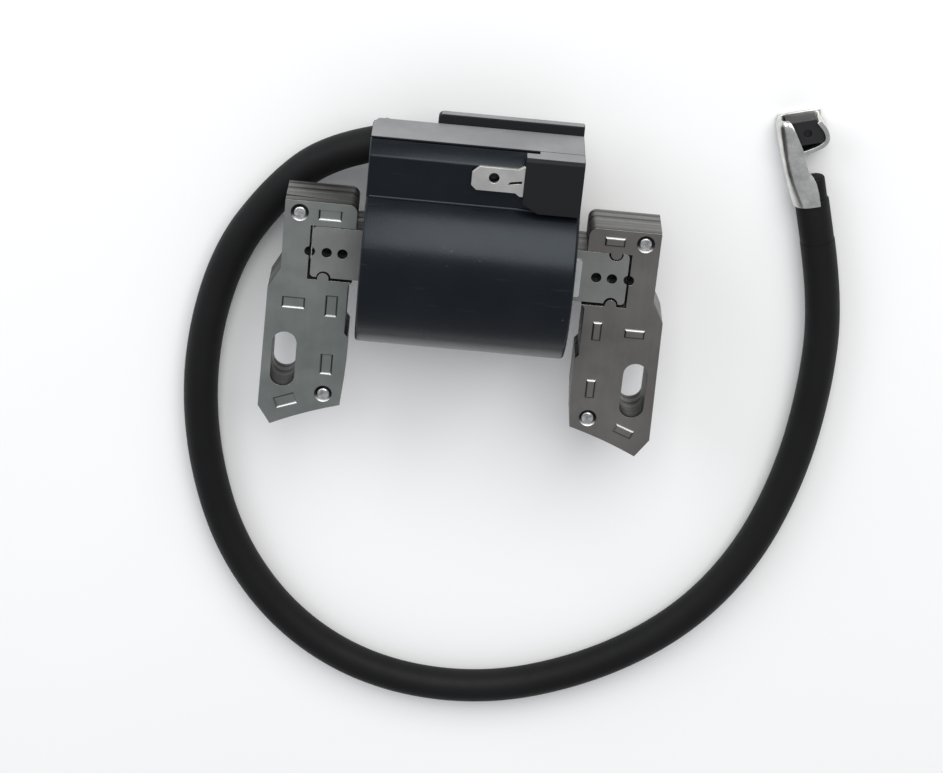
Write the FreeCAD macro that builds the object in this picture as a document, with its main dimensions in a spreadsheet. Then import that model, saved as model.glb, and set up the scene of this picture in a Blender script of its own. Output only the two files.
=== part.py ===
import FreeCAD, Part
import math
import os
from FreeCAD import Placement, Rotation, Vector

# Flywheel ignition coil: two laminated legs keyed to a laminated core, a round coil body with a box
# on its +Y side, a stop terminal, and a lead that ends in a plug terminal.
#
# Frame, in millimetres: +X runs along the core, +Y from the pole tips to the box, +Z out of the
# front of the legs. The coil body lies on z = 0, and x = y = 0 is the middle of the coil without its
# lead. "Coil axis" below means the line along X at y = axis_y, z = axis_z.

doc = FreeCAD.newDocument("ignition_coil")
sheet = doc.addObject("Spreadsheet::Sheet", "Sizes")

SIZES = [
    # stacks of sheet steel
    ("lamination_thickness", 0.8),
    ("lamination_count", 13),
    ("core_half_length", 30.6),
    ("core_half_width", 5.25),
    ("leg_inner_x", 22.3),
    ("leg_top_y", 10.2),
    ("leg_shoulder_x", 36.2),
    ("leg_outer_x", 38.9),
    ("leg_recess", 0.7),
    ("notch_gap", 0.4),
    ("key_x", 27.95),
    ("key_radius", 1.05),
    ("slot_x", 34.5),
    ("slot_top_y", -17.4),
    ("slot_length", 11.7),
    ("slot_width", 4.8),
    ("flywheel_radius", 82.0),
    ("pole_inner_x", 22.8),
    ("pole_inner_y", -32.2),
    ("tip_x", 36.3),
    ("tip_y", -37.5),
    ("rivet_radius", 1.3),
    ("rivet_head_radius", 1.75),
    ("rivet_sink", 0.45),
    ("interlock_length", 3.9),
    ("interlock_width", 1.8),
    ("interlock_depth", 0.35),
    ("stake_radius", 1.0),
    ("stake_sheets", 3),
    ("wedge_thickness", 0.45),
    # moulded body
    ("body_radius", 18.4),
    ("body_left_x", -20.9),
    ("body_right_x", 19.8),
    ("wall", 2.0),
    ("circuit_floor_y", 16.0),
    ("box_right_x", 19.6),
    ("box_low_y", 8.0),
    ("box_top_y", 25.5),
    ("box_front", 11.1),
    ("box_back", -2.0),
    ("box_chamfer", 2.6),
    ("box_corner_x", 1.0),
    ("box_corner_z", 2.6),
    ("cover_thickness", 0.4),
    ("lip_left_x", -8.5),
    ("lip_top_y", 27.8),
    ("lip_thickness", 2.2),
    ("block_left_x", 8.5),
    ("block_front", 13.2),
    ("block_low_y", 14.9),
    ("block_step", 2.6),
    # windings
    ("bobbin_half_length", 17.6),
    ("bobbin_wall", 0.8),
    ("bobbin_gap", 0.15),
    ("primary_radius", 9.8),
    ("insulation", 0.5),
    ("secondary_inner", 10.4),
    ("secondary_wall", 0.7),
    ("secondary_radius", 14.2),
    ("section_margin", 0.4),
    ("secondary_sections", 6),
    ("rib", 0.8),
    # stop terminal
    ("tab_width", 4.75),
    ("tab_thickness", 0.8),
    ("tab_tip_x", -1.4),
    ("tab_y", 21.0),
    ("tab_front", 12.9),
    ("tab_hole_radius", 1.0),
    # lead and plug terminal
    ("lead_diameter", 7.0),
    ("conductor_radius", 0.9),
    ("spike_radius", 0.55),
    ("spike_reach", 2.6),
    ("spike_stem", 3.2),
    ("lead_depth", 5.5),
    ("lead_socket_radius", 4.5),
    ("lead_clearance", 0.25),
    ("lead_seal_depth", 1.5),
    ("crimp_thickness", 0.45),
    ("crimp_length", 9.4),
    ("strip_thickness", 0.8),
    ("strip_height", 6.8),
    ("terminal_length", 26.6),
    ("plug_bore_radius", 2.15),
    ("plug_bore_depth", 4.4),
]

for row, (alias, value) in enumerate(SIZES, start=1):
    sheet.set(f"A{row}", alias)
    sheet.set(f"B{row}", str(value))
    sheet.setAlias(f"B{row}", alias)
WORKED_OUT = [
    ("axis_y", "=-(tip_y + lip_top_y) / 2"),
    ("axis_z", "=body_radius"),
    ("stack", "=lamination_thickness * lamination_count"),
    ("lead_radius", "=lead_diameter / 2"),
]
for row, (alias, rule) in enumerate(WORKED_OUT, start=len(SIZES) + 1):
    sheet.set(f"A{row}", alias)
    sheet.set(f"B{row}", rule)
    sheet.setAlias(f"B{row}", alias)
doc.recompute()


def size(alias):
    """The value of one cell of the sheet."""
    return float(sheet.get(alias))


AXIS = Vector(0, size("axis_y"), size("axis_z"))
STACK = size("stack")
SHEET = size("lamination_thickness")
SHEETS = int(size("lamination_count"))
ALONG_X = Rotation(Vector(0, 1, 0), 90)

# Where the lead leaves the housing and lies, as corners of its route from the coil axis' own y and
# from the floor's z. The route is chosen by hand: a stiff lead in one wide, open turn.
LEAD_ROUTE = [
    (-20.9, 18.1, 10.2),
    (-29.3, 14.8, 7.9),
    (-38.4, 5.8, 5.9),
    (-48.2, -10.1, 4.2),
    (-52.6, -32.8, 3.6),
    (-50.8, -55.5, 3.5),
    (-43.4, -77.4, 3.5),
    (-29.4, -94.8, 3.5),
    (-10.5, -104.8, 3.5),
    (12.4, -106.3, 3.5),
    (34.3, -98.8, 3.5),
    (52.3, -85.9, 3.5),
    (64.2, -68.9, 3.5),
    (70.9, -48.5, 3.5),
    (73.3, -27.6, 3.5),
    (72.5, -8.7, 4.0),
    (68.9, 4.4, 4.0),
]

nodes = []


# ---- helpers ------------------------------------------------------------------------------------


def bind(obj, **rules):
    """Ties sizes of an object to the sheet. A rule is an expression in the sheet's aliases."""
    for prop, rule in rules.items():
        obj.setExpression(prop, rule)
    return obj


def move(obj, x="0", y="0", z="0"):
    """Ties an object's place, measured from the coil axis, to the sheet."""
    obj.setExpression("Placement.Base.x", x)
    obj.setExpression("Placement.Base.y", f"Sizes.axis_y + ({y})")
    obj.setExpression("Placement.Base.z", f"Sizes.axis_z + ({z})")
    return obj


def box(name, length, width, height, x, y, z):
    """A block given by its three sizes and its lowest corner."""
    made = bind(doc.addObject("Part::Box", name), Length=length, Width=width, Height=height)
    return move(made, x, y, z)


def rod(name, radius, length, x, y="0", z="0"):
    """A cylinder along X, from its left end."""
    made = bind(doc.addObject("Part::Cylinder", name), Radius=radius, Height=length)
    made.Placement = Placement(Vector(), ALONG_X)
    return move(made, x, y, z)


def cut(name, base, tool):
    made = doc.addObject("Part::Cut", name)
    made.Base = base
    made.Tool = tool
    return made


def fuse(name, *pieces):
    made = doc.addObject("Part::MultiFuse", name)
    made.Shapes = list(pieces)
    return made


def feature(name, shape, place=None):
    """A shape worked out in code, with its place set after it."""
    made = doc.addObject("Part::Feature", name)
    made.Shape = shape
    if place is not None:
        made.Placement = place.multiply(shape.Placement)
    return made


def node(obj, label):
    """Names an object as one of the pieces of the coil."""
    obj.Label = label
    nodes.append(obj)
    return obj


def rounded(corners, mirror=1):
    """Lines and arcs round a closed outline. A corner is (x, y) or (x, y, radius)."""
    points = [Vector(mirror * corner[0], corner[1], 0) for corner in corners]
    radii = [corner[2] if len(corner) > 2 else 0 for corner in corners]
    starts, ends, arcs = [], [], []
    for here, point in enumerate(points):
        back = (points[here - 1] - point).normalize()
        ahead = (points[(here + 1) % len(points)] - point).normalize()
        half = back.getAngle(ahead) / 2
        reach = radii[here] / math.tan(half)
        starts.append(point + back * reach)
        ends.append(point + ahead * reach)
        if radii[here]:
            middle = (back + ahead).normalize()
            centre = point + middle * (radii[here] / math.sin(half))
            arcs.append(Part.Arc(starts[-1], centre - middle * radii[here], ends[-1]))
        else:
            arcs.append(None)
    curves = []
    for here in range(len(points)):
        if arcs[here]:
            curves.append(arcs[here])
        following = starts[(here + 1) % len(points)]
        if (following - ends[here]).Length > 1e-6:
            curves.append(Part.LineSegment(ends[here], following))
    return curves


def circle(x, y, radius):
    return [Part.Circle(Vector(x, y, 0), Vector(0, 0, 1), radius)]


def plate(name, loops, thickness):
    """A body padded from one sketch of closed loops on its XY plane."""
    body = doc.addObject("PartDesign::Body", name + "_body")
    sketch = body.newObject("Sketcher::SketchObject", name + "_sketch")
    flat = [f for f in body.Origin.OriginFeatures if f.Role == "XY_Plane"][0]
    sketch.AttachmentSupport = (flat, [""])
    sketch.MapMode = "FlatFace"
    for loop in loops:
        sketch.addGeometry(loop, False)
    pad = body.newObject("PartDesign::Pad", name + "_pad")
    pad.Profile = sketch
    pad.setExpression("Length", thickness)
    sketch.Visibility = False
    return body


def at_axis(x=0.0, y=0.0, z=0.0, turn=None):
    return Placement(AXIS + Vector(x, y, z), turn or Rotation())


# ---- laminated core and legs --------------------------------------------------------------------


def interlocks():
    """Middle and direction of each interlock of the right leg; the left leg mirrors them."""
    rise, run = size("tip_y") - size("pole_inner_y"), size("tip_x") - size("pole_inner_x")
    slope = math.degrees(math.atan2(rise, run))
    return [
        (27.4, 7.75, 0),
        (33.3, -11.1, 0),
        (25.9, -11.2, 90),
        (26.0, -23.6, 90),
        (33.5, -32.2, slope),
    ]


RIVETS = [(33.3, 7.8), (26.2, -30.0)]
STAKES = [24.6, 27.65, 30.9]


def stake_marks():
    """Round marks struck through the front sheets; the outer one spans the joint of core and leg."""
    deep = size("stake_sheets") * SHEET
    marks = [
        Part.makeCylinder(size("stake_radius"), deep, Vector(side * x, 0, STACK / 2 - deep))
        for side in (-1, 1)
        for x in STAKES
    ]
    return Part.makeCompound(marks)


def staked_sheets():
    return range(SHEETS - int(size("stake_sheets")), SHEETS)


def interlock_block(x, y, turn, z):
    """One interlock as a block of the depth that it is pressed."""
    long, wide = size("interlock_length"), size("interlock_width")
    block = Part.makeBox(long, wide, size("interlock_depth"), Vector(-long / 2, -wide / 2, 0))
    block.Placement = Placement(Vector(x, y, z), Rotation(Vector(0, 0, 1), turn))
    return block


def leg_loops(side):
    """Outline, slot and rivet holes of one leg's sheet. side is 1 for the right leg."""
    inner, top = size("leg_inner_x"), size("leg_top_y")
    shoulder, outer = size("leg_shoulder_x"), size("leg_outer_x")
    tip_x, tip_y = size("tip_x"), size("tip_y")
    pole_x, pole_y = size("pole_inner_x"), size("pole_inner_y")
    notch_x = size("core_half_length") + size("notch_gap")
    notch_top = size("core_half_width") + size("notch_gap") / 4
    notch_low = -size("core_half_width") - size("notch_gap") * 1.5
    recess = size("leg_recess")
    key_x, key = size("key_x"), size("key_radius")
    up = rounded([(inner, notch_top), (inner, top, 1.6), (shoulder, top), (shoulder, -4.0)], side)[:-1]
    down = [
        (shoulder, -4.0),
        (outer - 0.4, -8.4),
        (outer, -33.7),
        (tip_x, tip_y),
    ]
    inside = [
        (pole_x, pole_y),
        (inner, -26.0),
        (inner, -17.4),
        (inner + recess, -16.6),
        (inner + recess, notch_low - recess),
        (inner, notch_low),
        (key_x - key, notch_low),
    ]
    ends = [(key_x + key, notch_low), (notch_x, notch_low), (notch_x, notch_top)]

    def point(x, y):
        return Vector(side * x, y, 0)

    def run(corners):
        return [Part.LineSegment(point(*a), point(*b)) for a, b in zip(corners, corners[1:])]

    # the pole face follows the flywheel's rim
    chord = point(tip_x, tip_y) - point(pole_x, pole_y)
    rise = size("flywheel_radius") - math.sqrt(size("flywheel_radius") ** 2 - chord.Length ** 2 / 4)
    middle = (point(tip_x, tip_y) + point(pole_x, pole_y)) / 2
    normal = Vector(-chord.y, chord.x, 0).normalize() * side
    pole = Part.Arc(point(tip_x, tip_y), middle + normal * rise, point(pole_x, pole_y))
    low_key = Part.Arc(
        point(key_x - key, notch_low), point(key_x, notch_low + key * 1.4), point(key_x + key, notch_low)
    )
    outline = up + run(down) + [pole] + run(inside) + [low_key] + run(ends)
    if side > 0:
        high_key = Part.Arc(
            point(key_x + key, notch_top), point(key_x, notch_top - key * 1.2), point(key_x - key, notch_top)
        )
        outline += run([(notch_x, notch_top), (key_x + key, notch_top)]) + [high_key]
        outline += run([(key_x - key, notch_top), (inner, notch_top)])
    else:
        outline += run([(notch_x, notch_top), (inner, notch_top)])
    half = size("slot_width") / 2
    slot_top = size("slot_top_y")
    slot_low = slot_top - size("slot_length")
    left, right = size("slot_x") - half, size("slot_x") + half
    corners = [(left, slot_top), (right, slot_top), (right, slot_low), (left, slot_low)]
    slot = rounded([(x, y, half * 0.9999) for x, y in corners], side)
    holes = [circle(side * x, y, size("rivet_radius")) for x, y in RIVETS]
    return [outline, slot] + holes


def core_loops():
    """Outline of the core's sheet, with the key ways that the legs lock into."""
    long, wide = size("core_half_length"), size("core_half_width")
    key_x, way = size("key_x"), size("key_radius") + 0.35
    corner = 0.8

    def line(ax, ay, bx, by):
        return Part.LineSegment(Vector(ax, ay, 0), Vector(bx, by, 0))

    def keyway(x, y, depth):
        deepest = Vector(x, y - math.copysign(depth, y), 0)
        return Part.Arc(Vector(x - way, y, 0), deepest, Vector(x + way, y, 0))

    ends = []
    for side in (-1, 1):
        ends += [
            Part.Arc(
                Vector(side * (long - corner), wide, 0),
                Vector(side * (long - corner * 0.293), wide - corner * 0.293, 0),
                Vector(side * long, wide - corner, 0),
            ),
            line(side * long, wide - corner, side * long, corner - wide),
            Part.Arc(
                Vector(side * long, corner - wide, 0),
                Vector(side * (long - corner * 0.293), corner * 0.293 - wide, 0),
                Vector(side * (long - corner), -wide, 0),
            ),
        ]
    top = [
        line(corner - long, wide, key_x - way, wide),
        keyway(key_x, wide, 1.5),
        line(key_x + way, wide, long - corner, wide),
    ]
    low = [
        line(corner - long, -wide, -key_x - way, -wide),
        keyway(-key_x, -wide, 1.3),
        line(-key_x + way, -wide, key_x - way, -wide),
        keyway(key_x, -wide, 1.3),
        line(key_x + way, -wide, long - corner, -wide),
    ]
    return [ends + top + low]


def stack(sheet_shape, changes):
    """Copies one sheet through the stack. changes maps a sheet's number, from the back, to a cutter
    or an addition in the stack's own frame."""
    copies = []
    for number in range(SHEETS):
        one = sheet_shape.copy()
        one.translate(Vector(0, 0, number * SHEET - STACK / 2))
        for way, tool in changes.get(number, []):
            one = one.cut(tool) if way == "cut" else one.fuse(tool)
        copies.append(one)
    return Part.makeCompound(copies)


def make_core():
    one = plate("core_sheet", core_loops(), "Sizes.lamination_thickness")
    doc.recompute()
    changes = {number: [("cut", stake_marks())] for number in staked_sheets()}
    return node(feature("core", stack(one.Shape, changes), at_axis()), "core_laminations")


def make_leg(name, side):
    one = plate(name + "_sheet", leg_loops(side), "Sizes.lamination_thickness")
    doc.recompute()
    depth = size("interlock_depth")
    front, back = STACK / 2, -STACK / 2
    # the left leg is the same stamping turned over: its interlocks are pressed in from the front
    levels = (front, back) if side > 0 else (back - depth, front - depth)
    raised, sunk = (
        Part.makeCompound([interlock_block(side * x, y, side * turn, level) for x, y, turn in interlocks()])
        for level in levels
    )
    ends = (SHEETS - 1, 0) if side > 0 else (0, SHEETS - 1)
    rivets = rivet_pair(side)
    changes = {
        ends[0]: [("fuse", raised), ("cut", rivets)],
        ends[1]: [("cut", sunk), ("cut", rivets)],
    }
    for number in staked_sheets():
        changes.setdefault(number, []).append(("cut", stake_marks()))
    return node(feature(name, stack(one.Shape, changes), at_axis()), name + "_laminations")


def rivet_pair(side):
    """Two rivets of one leg. Their heads are sunk flush, so the leg's faces can lie on a seat."""
    shank, head, sink = size("rivet_radius"), size("rivet_head_radius"), size("rivet_sink")
    half = [
        Vector(0, 0, -STACK / 2),
        Vector(head, 0, -STACK / 2),
        Vector(shank, 0, sink - STACK / 2),
        Vector(shank, 0, STACK / 2 - sink),
        Vector(head, 0, STACK / 2),
        Vector(0, 0, STACK / 2),
    ]
    profile = Part.Face(Part.makePolygon(half + [half[0]]))
    both = []
    for x, y in RIVETS:
        one = profile.revolve(Vector(), Vector(0, 0, 1), 360)
        one.translate(Vector(side * x, y, 0))
        both.append(one)
    return Part.makeCompound(both)


def make_rivets(name, side):
    return node(feature(name, rivet_pair(side), at_axis()), name)


def make_wedge():
    """The spring leaf driven between the core's front and the bobbin at the right end."""
    loops = [rounded([(14.0, -4.3), (21.6, -4.3, 0.5), (21.6, 3.4, 0.5), (14.0, 3.4)])]
    body = plate("wedge", loops, "Sizes.wedge_thickness")
    body.Placement = at_axis(z=STACK / 2)
    return node(body, "core_retaining_wedge")


# ---- moulded housing and covers -----------------------------------------------------------------


def box_profile(front, top, chamfer, low):
    """Side view of the box in Y and Z from the coil axis, as a list of corners."""
    back = size("box_back")
    return [(low, back), (top, back), (top, front - chamfer), (top - chamfer, front), (low, front)]


def along_x(corners, left, right):
    """A prism along X from corners in Y and Z."""
    points = [Vector(left, y, z) for y, z in corners]
    return Part.Face(Part.makePolygon(points + [points[0]])).extrude(Vector(right - left, 0, 0))


def lead_direction():
    """Outward direction of the lead where it leaves the housing."""
    return (Vector(*LEAD_ROUTE[1]) - Vector(*LEAD_ROUTE[0])).normalize()


def lead_exit():
    """Where the lead leaves the housing, measured from the coil axis."""
    x, y, z = LEAD_ROUTE[0]
    return Vector(x, y, z - size("axis_z"))


def lead_rod(radius, start, end):
    """A rod on the lead's line, between two distances outward of its exit."""
    way = lead_direction()
    return Part.makeCylinder(radius, end - start, lead_exit() + way * start, way)


def beyond_left_end():
    """The space past the housing's left end, for trimming what is set at the lead's angle."""
    reach = 60
    return Part.makeBox(reach, reach, reach, Vector(size("body_left_x") - reach, -reach / 4, -reach / 2))


def box_corner():
    """What the slant at the box's rear left corner takes off."""
    left, back, past = size("body_left_x"), size("box_back"), 0.1
    corners = [
        (left - past, back - past),
        (left + size("box_corner_x"), back - past),
        (left - past, back + size("box_corner_z")),
    ]
    flat = [Vector(x, size("body_radius"), z) for x, z in corners]
    return Part.Face(Part.makePolygon(flat + [flat[0]])).extrude(Vector(0, 20, 0))


def make_housing():
    """Round body and box in one moulding, with the cavity for the windings and for the circuit."""
    left, right, wall = size("body_left_x"), size("body_right_x"), size("wall")
    radius, box_right = size("body_radius"), size("box_right_x")
    along = Vector(1, 0, 0)
    outer = Part.makeCylinder(radius, right - left, Vector(left, 0, 0), along)
    profile = box_profile(size("box_front"), size("box_top_y"), size("box_chamfer"), size("box_low_y"))
    case = along_x(profile, left, box_right).cut(box_corner())
    deep = size("lead_depth")
    socket = lead_rod(size("lead_socket_radius"), -deep - wall, 0.4)
    outside = outer.fuse([case, socket.cut(beyond_left_end())])
    room = Part.makeCylinder(radius - wall, right - left - 2 * wall, Vector(left + wall, 0, 0), along)
    low = size("circuit_floor_y")
    circuit = Part.makeBox(
        box_right - left - 2 * wall,
        size("box_top_y") - low,
        size("box_front") - size("box_back") - size("box_chamfer") - wall,
        Vector(left + wall, low, size("box_back") + wall),
    )
    bore = lead_rod(size("lead_radius") + size("lead_clearance"), -deep, 3.0)
    # room for the core inside its bobbin, and for the wedge in front of it
    skin = size("bobbin_gap") + size("bobbin_wall")
    window = size("core_half_width") + skin
    core_way = Part.makeBox(
        right - left + 2, 2 * window, STACK + 2 * skin + 0.6, Vector(left - 1, -window, -STACK / 2 - skin)
    )
    kept_socket = lead_rod(size("lead_socket_radius"), -deep - wall, 0)
    shell = outside.cut(room.cut(kept_socket))
    shell = shell.cut([circuit.cut(kept_socket), bore, core_way, contact_shape()])
    return node(feature("housing", shell.removeSplitter(), at_axis()), "coil_housing")


def make_covers():
    """Top cover on the box, and the rear cover whose lip stands above it."""
    left, box_right = size("body_left_x"), size("box_right_x")
    top, thick = size("box_top_y"), size("cover_thickness")
    reach = size("box_front") - size("box_chamfer")
    corners = [
        (left + size("box_corner_x"), size("box_back")),
        (box_right, size("box_back")),
        (box_right, reach),
        (left, reach),
        (left, size("box_back") + size("box_corner_z")),
    ]
    lid = Part.Face(Part.Wire([curve.toShape() for curve in rounded(corners)]))
    lid = lid.extrude(Vector(0, 0, thick))
    # the outline is drawn in X and Z, so it is turned up on edge, with its thickness along Y
    lid.rotate(Vector(), Vector(1, 0, 0), 90)
    node(feature("lid", lid, at_axis(y=top + thick)), "top_cover")
    back, lip = size("box_back"), size("lip_thickness")
    plate_low = size("body_radius") + 0.05
    lip_left = size("lip_left_x")
    rear = Part.makeBox(
        box_right - lip_left, size("lip_top_y") - plate_low, lip, Vector(lip_left, plate_low, back - lip)
    )
    rear = rear.makeFillet(1.0, [edge for edge in rear.Edges if is_lip_end(edge)])
    node(feature("rear", rear, at_axis()), "rear_cover")


def is_lip_end(edge):
    """The upright edge at the lip's upper left end."""
    middle = edge.CenterOfMass
    along_z = abs(edge.tangentAt(edge.FirstParameter).z) > 0.99
    return along_z and middle.x < size("lip_left_x") + 0.1 and middle.y > size("lip_top_y") - 0.1


def make_terminal_block():
    """The thicker corner of the box that holds the stop terminal."""
    left, right = size("block_left_x"), size("box_right_x")
    front, low = size("block_front"), size("block_low_y")
    face, chamfer = size("box_front"), size("box_chamfer")
    top = size("box_top_y") + size("cover_thickness")
    wedge = [
        (top - chamfer - size("cover_thickness"), face),
        (top - size("cover_thickness"), face - chamfer),
        (top, face - chamfer),
        (top, front - 0.6),
        (top - 0.6, front),
        (low, front),
        (low, face),
    ]
    block = along_x(wedge, left, right)
    # the left lower corner is cut off at an angle, and the left upper one is stepped
    corner = [(left - 0.1, low - 0.1), (left + 3.2, low - 0.1), (left - 0.1, low + 1.8)]
    flat = [Vector(x, y, face - 5) for x, y in corner]
    block = block.cut(Part.Face(Part.makePolygon(flat + [flat[0]])).extrude(Vector(0, 0, 20)))
    step = Part.makeBox(size("block_step"), 4, face - chamfer + 1.5, Vector(left - 0.1, top - 1.2, 0))
    return node(feature("block", block.cut([step, tab_slot()]), at_axis()), "terminal_block")


def tab_slot():
    """Room for the stop terminal inside the block."""
    wide, thick = size("tab_width") + 1.4, size("tab_thickness")
    corner = Vector(size("block_left_x") - 0.1, size("tab_y") - wide / 2, size("tab_front") - thick)
    return Part.makeBox(8.1, wide, thick, corner)


def make_stop_terminal():
    """A flat blade with chamfered tip, hole, lance slit and a flared root inside the block."""
    tip, root, wide = size("tab_tip_x"), size("block_left_x"), size("tab_width") / 2
    flare = wide + 0.6
    inside = root + 7.9
    outline = [
        (tip + 1.3, wide),
        (tip, wide - 1.2),
        (tip, 0.9 - wide),
        (tip + 1.0, -wide),
        (root - 1.5, -wide),
        (root - 0.7, -flare),
        (inside, -flare),
        (inside, flare),
        (root - 0.3, flare),
        (root - 1.3, wide),
    ]
    loops = [
        rounded(outline),
        circle(tip + 4.2, 0.3, size("tab_hole_radius")),
        rounded([(root - 3.0, -0.75), (root - 2.6, -0.25), (root - 0.4, 0.1), (root - 0.4, -0.4)]),
    ]
    body = plate("tab", loops, "Sizes.tab_thickness")
    body.Placement = at_axis(y=size("tab_y"), z=size("tab_front") - size("tab_thickness"))
    return node(body, "stop_terminal")


# ---- windings -----------------------------------------------------------------------------------


def tube(name, outer, inner, length, x):
    """A tube along the coil axis."""
    return cut(name, rod(name + "_outer", outer, length, x), rod(name + "_bore", inner, length, x))


def square(name, grow, length, x):
    """A block along the coil axis, larger than the core's section by grow on every side."""
    return box(
        name,
        length,
        f"2 * Sizes.core_half_width + 2 * ({grow})",
        f"Sizes.stack + 2 * ({grow})",
        x,
        f"-Sizes.core_half_width - ({grow})",
        f"-Sizes.stack / 2 - ({grow})",
    )


def make_primary():
    """Bobbin round the core, its winding, and the sleeve that insulates it."""
    long = "2 * Sizes.bobbin_half_length"
    start = "-Sizes.bobbin_half_length"
    gap, skin = "Sizes.bobbin_gap", "Sizes.bobbin_gap + Sizes.bobbin_wall"
    flange = "1.0"
    wheel = "Sizes.primary_radius"
    body = square("bobbin_body", skin, long, start)
    wedge_start, wedge_level = "Sizes.bobbin_half_length - 5", "Sizes.stack / 2 + Sizes.bobbin_gap - 0.05"
    wedge_way = box("wedge_way", "6", "8.2", "0.7", wedge_start, "-4.6", wedge_level)
    left = rod("bobbin_left_flange", wheel, flange, start)
    right = rod("bobbin_right_flange", wheel, flange, f"Sizes.bobbin_half_length - {flange}")
    solid = fuse("bobbin_solid", body, left, right)
    bored = cut("bobbin_bored", solid, square("bobbin_way", gap, f"{long} + 2", f"{start} - 1"))
    node(cut("primary_bobbin", bored, wedge_way), "primary_bobbin")
    turns_long = f"{long} - 2 * {flange}"
    turns_start = f"{start} + {flange}"
    turns = rod("primary_turns", wheel, turns_long, turns_start)
    way = square("primary_way", skin, f"{turns_long} + 2", f"{turns_start} - 1")
    node(cut("primary_winding", turns, way), "primary_winding")
    sleeve = f"{wheel} + Sizes.insulation"
    node(tube("winding_insulation", sleeve, wheel, long, start), "winding_insulation")


def make_secondary():
    """Bobbin in sections, and one ring of fine wire in each."""
    sections = int(size("secondary_sections"))
    start, long = -size("bobbin_half_length"), 2 * size("bobbin_half_length")
    inner, wall, rib = size("secondary_inner"), size("secondary_wall"), size("rib")
    outer = size("secondary_radius")
    along = Vector(1, 0, 0)
    pitch = (long - rib) / sections
    hub = Part.makeCylinder(inner + wall, long, Vector(start, 0, 0), along)
    ribs = [
        Part.makeCylinder(outer + size("section_margin"), rib, Vector(start + pitch * number, 0, 0), along)
        for number in range(sections + 1)
    ]
    bore = Part.makeCylinder(inner, long + 2, Vector(start - 1, 0, 0), along)
    node(feature("secondary_bobbin", hub.fuse(ribs).cut(bore), at_axis()), "secondary_bobbin")
    rings = []
    for number in range(sections):
        left = Vector(start + pitch * number + rib, 0, 0)
        ring = Part.makeCylinder(outer, pitch - rib, left, along)
        rings.append(ring.cut(Part.makeCylinder(inner + wall, pitch - rib, left, along)))
    node(feature("secondary_winding", Part.makeCompound(rings), at_axis()), "secondary_winding")


def make_potting():
    """Cured resin round the windings and under the circuit board."""
    wall, radius = size("wall"), size("body_radius")
    left, right = size("body_left_x") + wall, size("body_right_x") - wall
    along = Vector(1, 0, 0)
    resin = Part.makeCylinder(radius - wall, right - left, Vector(left, 0, 0), along)
    across = size("secondary_radius") + size("section_margin")
    hollow = Part.makeCylinder(across, right - left, Vector(left, 0, 0), along)
    top = Part.makeBox(60, 20, 60, Vector(-30, size("circuit_floor_y"), -30))
    socket = lead_rod(size("lead_socket_radius"), -size("lead_depth") - wall, 3.0)
    resin = resin.cut([hollow, top, socket, contact_shape()])
    return node(feature("potting", resin, at_axis()), "potting_compound")


def contact_shape():
    """Spike and stem that carry the secondary's voltage into the lead."""
    deep = size("lead_depth")
    return lead_rod(size("spike_radius"), -deep - size("spike_stem"), size("spike_reach") - deep)


# ---- circuit ------------------------------------------------------------------------------------


def make_circuit():
    """Board with its parts, and the strap that earths it to the core."""
    back = "Sizes.box_back + Sizes.wall"
    board_y, board_thick = "19.4", "1.2"
    top = f"{board_y} + {board_thick}"
    node(box("board", "34", board_thick, "8.2", "-17.6", board_y, f"{back} + 0.1"), "circuit_board")
    body = box("transistor_body", "6.4", "2.2", "6.2", "-15.5", top, f"{back} + 0.6")
    flag = box("transistor_flag", "2.2", "0.6", "6.2", "-9.1", top, f"{back} + 0.6")
    node(fuse("transistor", body, flag), "switching_transistor")
    node(rod("resistor", "1.1", "6.2", "-4.8", f"{top} + 1.1", f"{back} + 2.2"), "bias_resistor")
    node(rod("capacitor", "1.5", "6.0", "4.2", f"{top} + 1.5", f"{back} + 2.6"), "timing_capacitor")
    node(box("diode", "3.2", "1.4", "2.0", "-4.0", top, f"{back} + 5.2"), "blocking_diode")
    strap = box("strap", "5.0", "0.4", "5.0", "11.8", top, f"{back} + 1.0")
    node(strap, "ground_strap")


# ---- lead and plug terminal ---------------------------------------------------------------------


def make_lead_inside():
    """What lies in the housing's socket: contact, lead end, its conductor and the seal."""
    deep, radius, wire = size("lead_depth"), size("lead_radius"), size("conductor_radius")
    seal_deep = size("lead_seal_depth")
    node(feature("contact", contact_shape(), at_axis()), "high_tension_contact")
    jacket = lead_rod(radius, -deep, 0).cut(lead_rod(wire, -deep - 1, 1))
    node(feature("lead_end", jacket, at_axis()), "lead_inner_end")
    node(feature("wire", lead_rod(wire, size("spike_reach") - deep, 0), at_axis()), "lead_conductor")
    ring = lead_rod(radius + size("lead_clearance"), -seal_deep, 3)
    ring = ring.cut([lead_rod(radius, -seal_deep - 1, 4), beyond_left_end()])
    node(feature("seal", ring, at_axis()), "lead_seal")


def lead_path():
    """Straight runs joined by tangent arcs, the radius of each arc, and the length of it all."""
    corners = [Vector(x, y + AXIS.y, z) for x, y, z in LEAD_ROUTE]
    edges, radii, length = [], [], 0.0
    here = corners[0]
    for before, corner, after in zip(corners, corners[1:], corners[2:]):
        back, ahead = before - corner, after - corner
        reach = 0.45 * min(back.Length, ahead.Length)
        turn = math.pi - back.getAngle(ahead)
        radius = reach / math.tan(turn / 2)
        back.normalize()
        ahead.normalize()
        start, end = corner + back * reach, corner + ahead * reach
        inward = (back + ahead).normalize()
        centre = corner + inward * (radius / math.cos(turn / 2))
        edges.append(Part.LineSegment(here, start).toShape())
        edges.append(Part.Arc(start, centre - inward * radius, end).toShape())
        length += (start - here).Length + radius * turn
        radii.append(radius)
        here = end
    edges.append(Part.LineSegment(here, corners[-1]).toShape())
    length += (corners[-1] - here).Length
    return Part.Wire(edges), radii, length


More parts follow.
